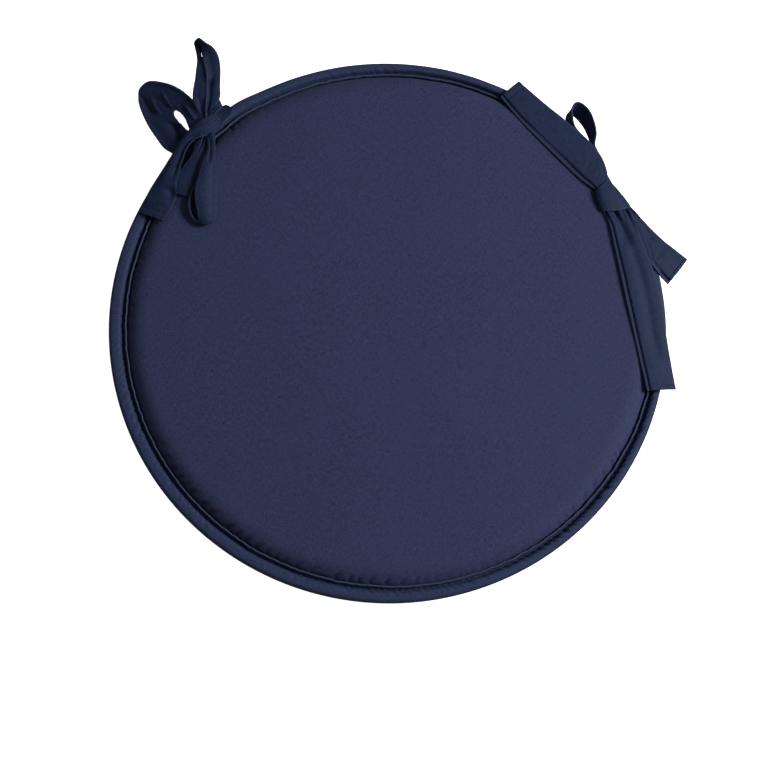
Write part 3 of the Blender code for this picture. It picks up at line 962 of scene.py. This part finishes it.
class CUSHION_OT_right_tie(bpy.types.Operator):
    """Make the right tie: two ends along the edge, an outer end, a standing loop and the knot"""

    bl_idname = "cushion.right_tie"
    bl_label = "Right Tie"

    def execute(self, context):
        front_folds = [
            Fold((0.45, 0.14), (0.42, 0.85), 2.6, -1.0), Fold((0.68, 0.05), (0.58, 0.34), 2.6, -1.5),
            Fold((0.1, 0.08), (0.15, 0.28), 1.4, -0.6), Fold((0.86, 0.06), (0.90, 0.22), 0.9, 0.6),
        ]
        outer_folds = [
            Fold((0.85, 0.10), (0.92, 0.62), 2.4, -1.6), Fold((0.2, 0.2), (0.35, 0.5), 1.6, -0.8),
            Fold((0.5, 0.70), (0.4, 1.0), 3.0, 0.7),
        ]
        pieces = [
            (tape("right_end_back", RIGHT_END_BACK, context, arch=0.8, sewn_edge=1, sewn_end=0, seed=1.0,
                  pleats=[(0.95, 7.0, 2.5, 0.8)]), RIGHT_END_BACK),
            (tape("right_end_front", RIGHT_END_FRONT, context, arch=0.8, folds=front_folds,
                  sewn_edge=1, sewn_end=1, seed=2.0,
                  pleats=[(0.13, 9.0, 2.7, 0.5), (0.16, 6.0, 4.6, 0.4)]), RIGHT_END_FRONT),
            (tape("right_end_outer", RIGHT_END_OUTER, context, arch=0.2, folds=outer_folds,
                  sewn_edge=1, sewn_end=1, seed=3.0, pleats=[(0.22, 8.0, 2.5, 0.6)]), RIGHT_END_OUTER),
            (tape("right_loop", RIGHT_LOOP, context, seed=4.0), RIGHT_LOOP),
            (tape("right_knot", RIGHT_KNOT, context, arch=0.7, seed=5.0, flip=True), RIGHT_KNOT),
        ]
        for piece, stations in pieces:
            settle(piece, "tie_cloth", "tie_right")
            declare_tape(stations)
        return {"FINISHED"}


class CUSHION_OT_left_tie(bpy.types.Operator):
    """Make the left tie: an end that crosses the knot, a second end, three loops, the fan and the knot"""

    bl_idname = "cushion.left_tie"
    bl_label = "Left Tie"

    # How many times wider than it lies the gathered fan beside the knot was cut
    FAN_GATHER = 2.4

    def execute(self, context):
        end_folds = [
            Fold((0.3, 0.24), (0.25, 0.50), 0.8, 0.3),
            Fold((0.55, 0.24), (0.52, 0.52), 0.8, -0.35), Fold((0.8, 0.26), (0.78, 0.46), 0.8, 0.3),
            Fold((0.98, 0.42), (0.98, 0.70), 0.8, 0.7), Fold((0.78, 0.45), (0.72, 0.74), 1.1, -1.0),
            Fold((0.30, 0.50), (0.35, 0.80), 2.0, 0.9), Fold((0.70, 0.82), (0.92, 0.88), 1.9, -1.8),
            Fold((0.1, 0.93), (0.8, 0.90), 1.4, 0.7),
        ]
        tall_folds = [
            Fold((0.72, 0.80), (0.74, 0.97), 1.7, -2.2), Fold((0.60, 0.60), (0.66, 0.82), 2.0, -1.1),
            Fold((0.55, 0.0), (0.5, 0.08), 1.5, -1.0),
        ]
        outer_folds = [
            Fold((0.12, 0.60), (0.30, 0.71), 1.8, -1.1), Fold((0.40, 0.57), (0.52, 0.68), 1.2, 0.8),
            Fold((0.95, 0.50), (0.40, 0.52), 1.0, -0.5), Fold((0.90, 0.44), (0.45, 0.41), 0.9, 0.9),
            Fold((0.80, 0.78), (0.55, 0.99), 2.6, -3.2), Fold((0.06, 0.10), (0.06, 0.45), 0.9, 0.7),
            Fold((0.50, 0.06), (0.45, 0.20), 1.4, 1.3), Fold((0.04, 0.62), (0.05, 0.95), 0.9, 0.7),
        ]
        front_folds = [
            Fold((0.30, 0.0), (0.40, 0.15), 0.9, -1.1), Fold((0.75, 0.0), (0.72, 0.17), 0.8, 0.7),
            Fold((0.95, 0.02), (0.93, 0.2), 0.6, -0.7),
        ]
        pieces = [
            (tape("left_end", LEFT_END, context, arch=0.9, folds=end_folds, sewn_end=1, seed=6.0, flip=True,
                  pleats=[(0.28, 12.0, 4.5, 0.2)]), LEFT_END),
            (tape("left_end_inner", LEFT_END_INNER, context, arch=0.6, seed=10.0, flip=True,
                  pleats=[(0.0, 9.0, 2.0, 0.9)]), LEFT_END_INNER),
            (tape("left_loop_outer", LEFT_LOOP_OUTER, context, folds=outer_folds, seed=7.0, flip=True),
             LEFT_LOOP_OUTER),
            (tape("left_loop_tall", LEFT_LOOP_TALL, context, folds=tall_folds, seed=8.0,
                  pleats=[(0.97, 7.0, 2.5, 0.25), (0.02, 6.0, 2.5, 0.3)]), LEFT_LOOP_TALL),
            (tape("left_loop_front", LEFT_LOOP_FRONT, context, arch=1.9, folds=front_folds, seed=9.0,
                  flip=True), LEFT_LOOP_FRONT),
            (tape("left_fan", LEFT_FAN, context, arch=0.3, seed=12.0, pleats=[(0.35, 7.0, 2.5, 1.2)]),
             LEFT_FAN),
        ]
        for piece, stations in pieces:
            settle(piece, "tie_cloth", "tie_left")
            declare_tape(stations, self.FAN_GATHER if piece.name == "left_fan" else 1.0)
        settle(knot_core("left_knot", LEFT_KNOT, context), "tie_cloth", "tie_left")
        return {"FINISHED"}


class CUSHION_OT_stage(bpy.types.Operator):
    """Lay the pale floor, hang the soft lights and set the camera over the cushion"""

    bl_idname = "cushion.stage"
    bl_label = "Floor, Light and Camera"

    FLOOR_HALF = 12.0
    FLOOR_DROP = 0.2 * MM
    LIGHT_SIDE = 0.62
    LIGHT_PLACE = (1.31, 0.12, 1.14)

    def execute(self, context):
        stage = context.scene.cushion_stage
        self.lay_floor(stage)
        self.hang_lights(context, stage)
        self.set_camera(context, stage)
        context.scene.view_settings.view_transform = "Standard"
        return {"FINISHED"}

    def lay_floor(self, stage):
        bm = bmesh.new()
        bmesh.ops.create_grid(bm, x_segments=1, y_segments=1, size=self.FLOOR_HALF)
        bmesh.ops.translate(bm, verts=bm.verts, vec=(0.0, 0.0, -self.FLOOR_DROP))
        floor = piece_from(bm, "floor", floor_material("pale_paper", stage.floor))
        floor.visible_diffuse = False
        floor.visible_glossy = False

    def hang_lights(self, context, stage):
        world = bpy.data.worlds.new("soft_room")
        world.use_nodes = True
        world.node_tree.nodes["Background"].inputs["Color"].default_value = (1.0, 1.0, 1.0, 1.0)
        world.node_tree.nodes["Background"].inputs["Strength"].default_value = stage.ambient
        context.scene.world = world
        light = bpy.data.lights.new("key", "AREA")
        light.shape = "SQUARE"
        light.size = self.LIGHT_SIDE
        light.energy = stage.key
        key = bpy.data.objects.new("key", light)
        key.location = self.LIGHT_PLACE
        key.rotation_euler = Vector(key.location).to_track_quat("Z", "Y").to_euler()
        context.scene.collection.objects.link(key)

    def set_camera(self, context, stage):
        back = Vector((
            -math.sin(stage.azimuth) * math.cos(stage.elevation),
            -math.cos(stage.azimuth) * math.cos(stage.elevation),
            math.sin(stage.elevation),
        ))
        right = Vector((0.0, 1.0, 0.0)).cross(back).normalized()
        turn = Matrix((right, back.cross(right), back)).transposed()
        data = bpy.data.cameras.new("camera")
        data.sensor_width = 36.0
        data.lens = stage.lens
        camera = bpy.data.objects.new("camera", data)
        camera.matrix_world = Matrix.Translation(Vector(stage.aim) + back * stage.distance) @ turn.to_4x4()
        context.scene.collection.objects.link(camera)
        context.scene.camera = camera


class CUSHION_PT_panel(bpy.types.Panel):
    """Buttons and sizes for the cushion"""

    bl_label = "Round Chair Cushion"
    bl_idname = "CUSHION_PT_panel"
    bl_space_type = "VIEW_3D"
    bl_region_type = "UI"
    bl_category = "Cushion"

    def draw(self, context):
        for operator in OPERATORS:
            self.layout.operator(operator.bl_idname)
        for name in SETTINGS:
            group = getattr(context.scene, name)
            box = self.layout.box()
            for prop in group.bl_rna.properties:
                if prop.identifier not in {"rna_type", "name"}:
                    box.prop(group, prop.identifier)


OPERATORS = (
    CUSHION_OT_pad,
    CUSHION_OT_binding,
    CUSHION_OT_right_tie,
    CUSHION_OT_left_tie,
    CUSHION_OT_stage,
)


def register():
    for cls in (*SETTINGS.values(), *OPERATORS, CUSHION_PT_panel):
        bpy.utils.register_class(cls)
    for name, group in SETTINGS.items():
        setattr(bpy.types.Scene, name, PointerProperty(type=group))


def unregister():
    for name in SETTINGS:
        delattr(bpy.types.Scene, name)
    for cls in reversed((*SETTINGS.values(), *OPERATORS, CUSHION_PT_panel)):
        bpy.utils.unregister_class(cls)


def main():
    register()
    bpy.ops.cushion.pad()
    bpy.ops.cushion.binding()
    bpy.ops.cushion.right_tie()
    bpy.ops.cushion.left_tie()
    bpy.ops.cushion.stage()


if __name__ == "__main__":
    main()
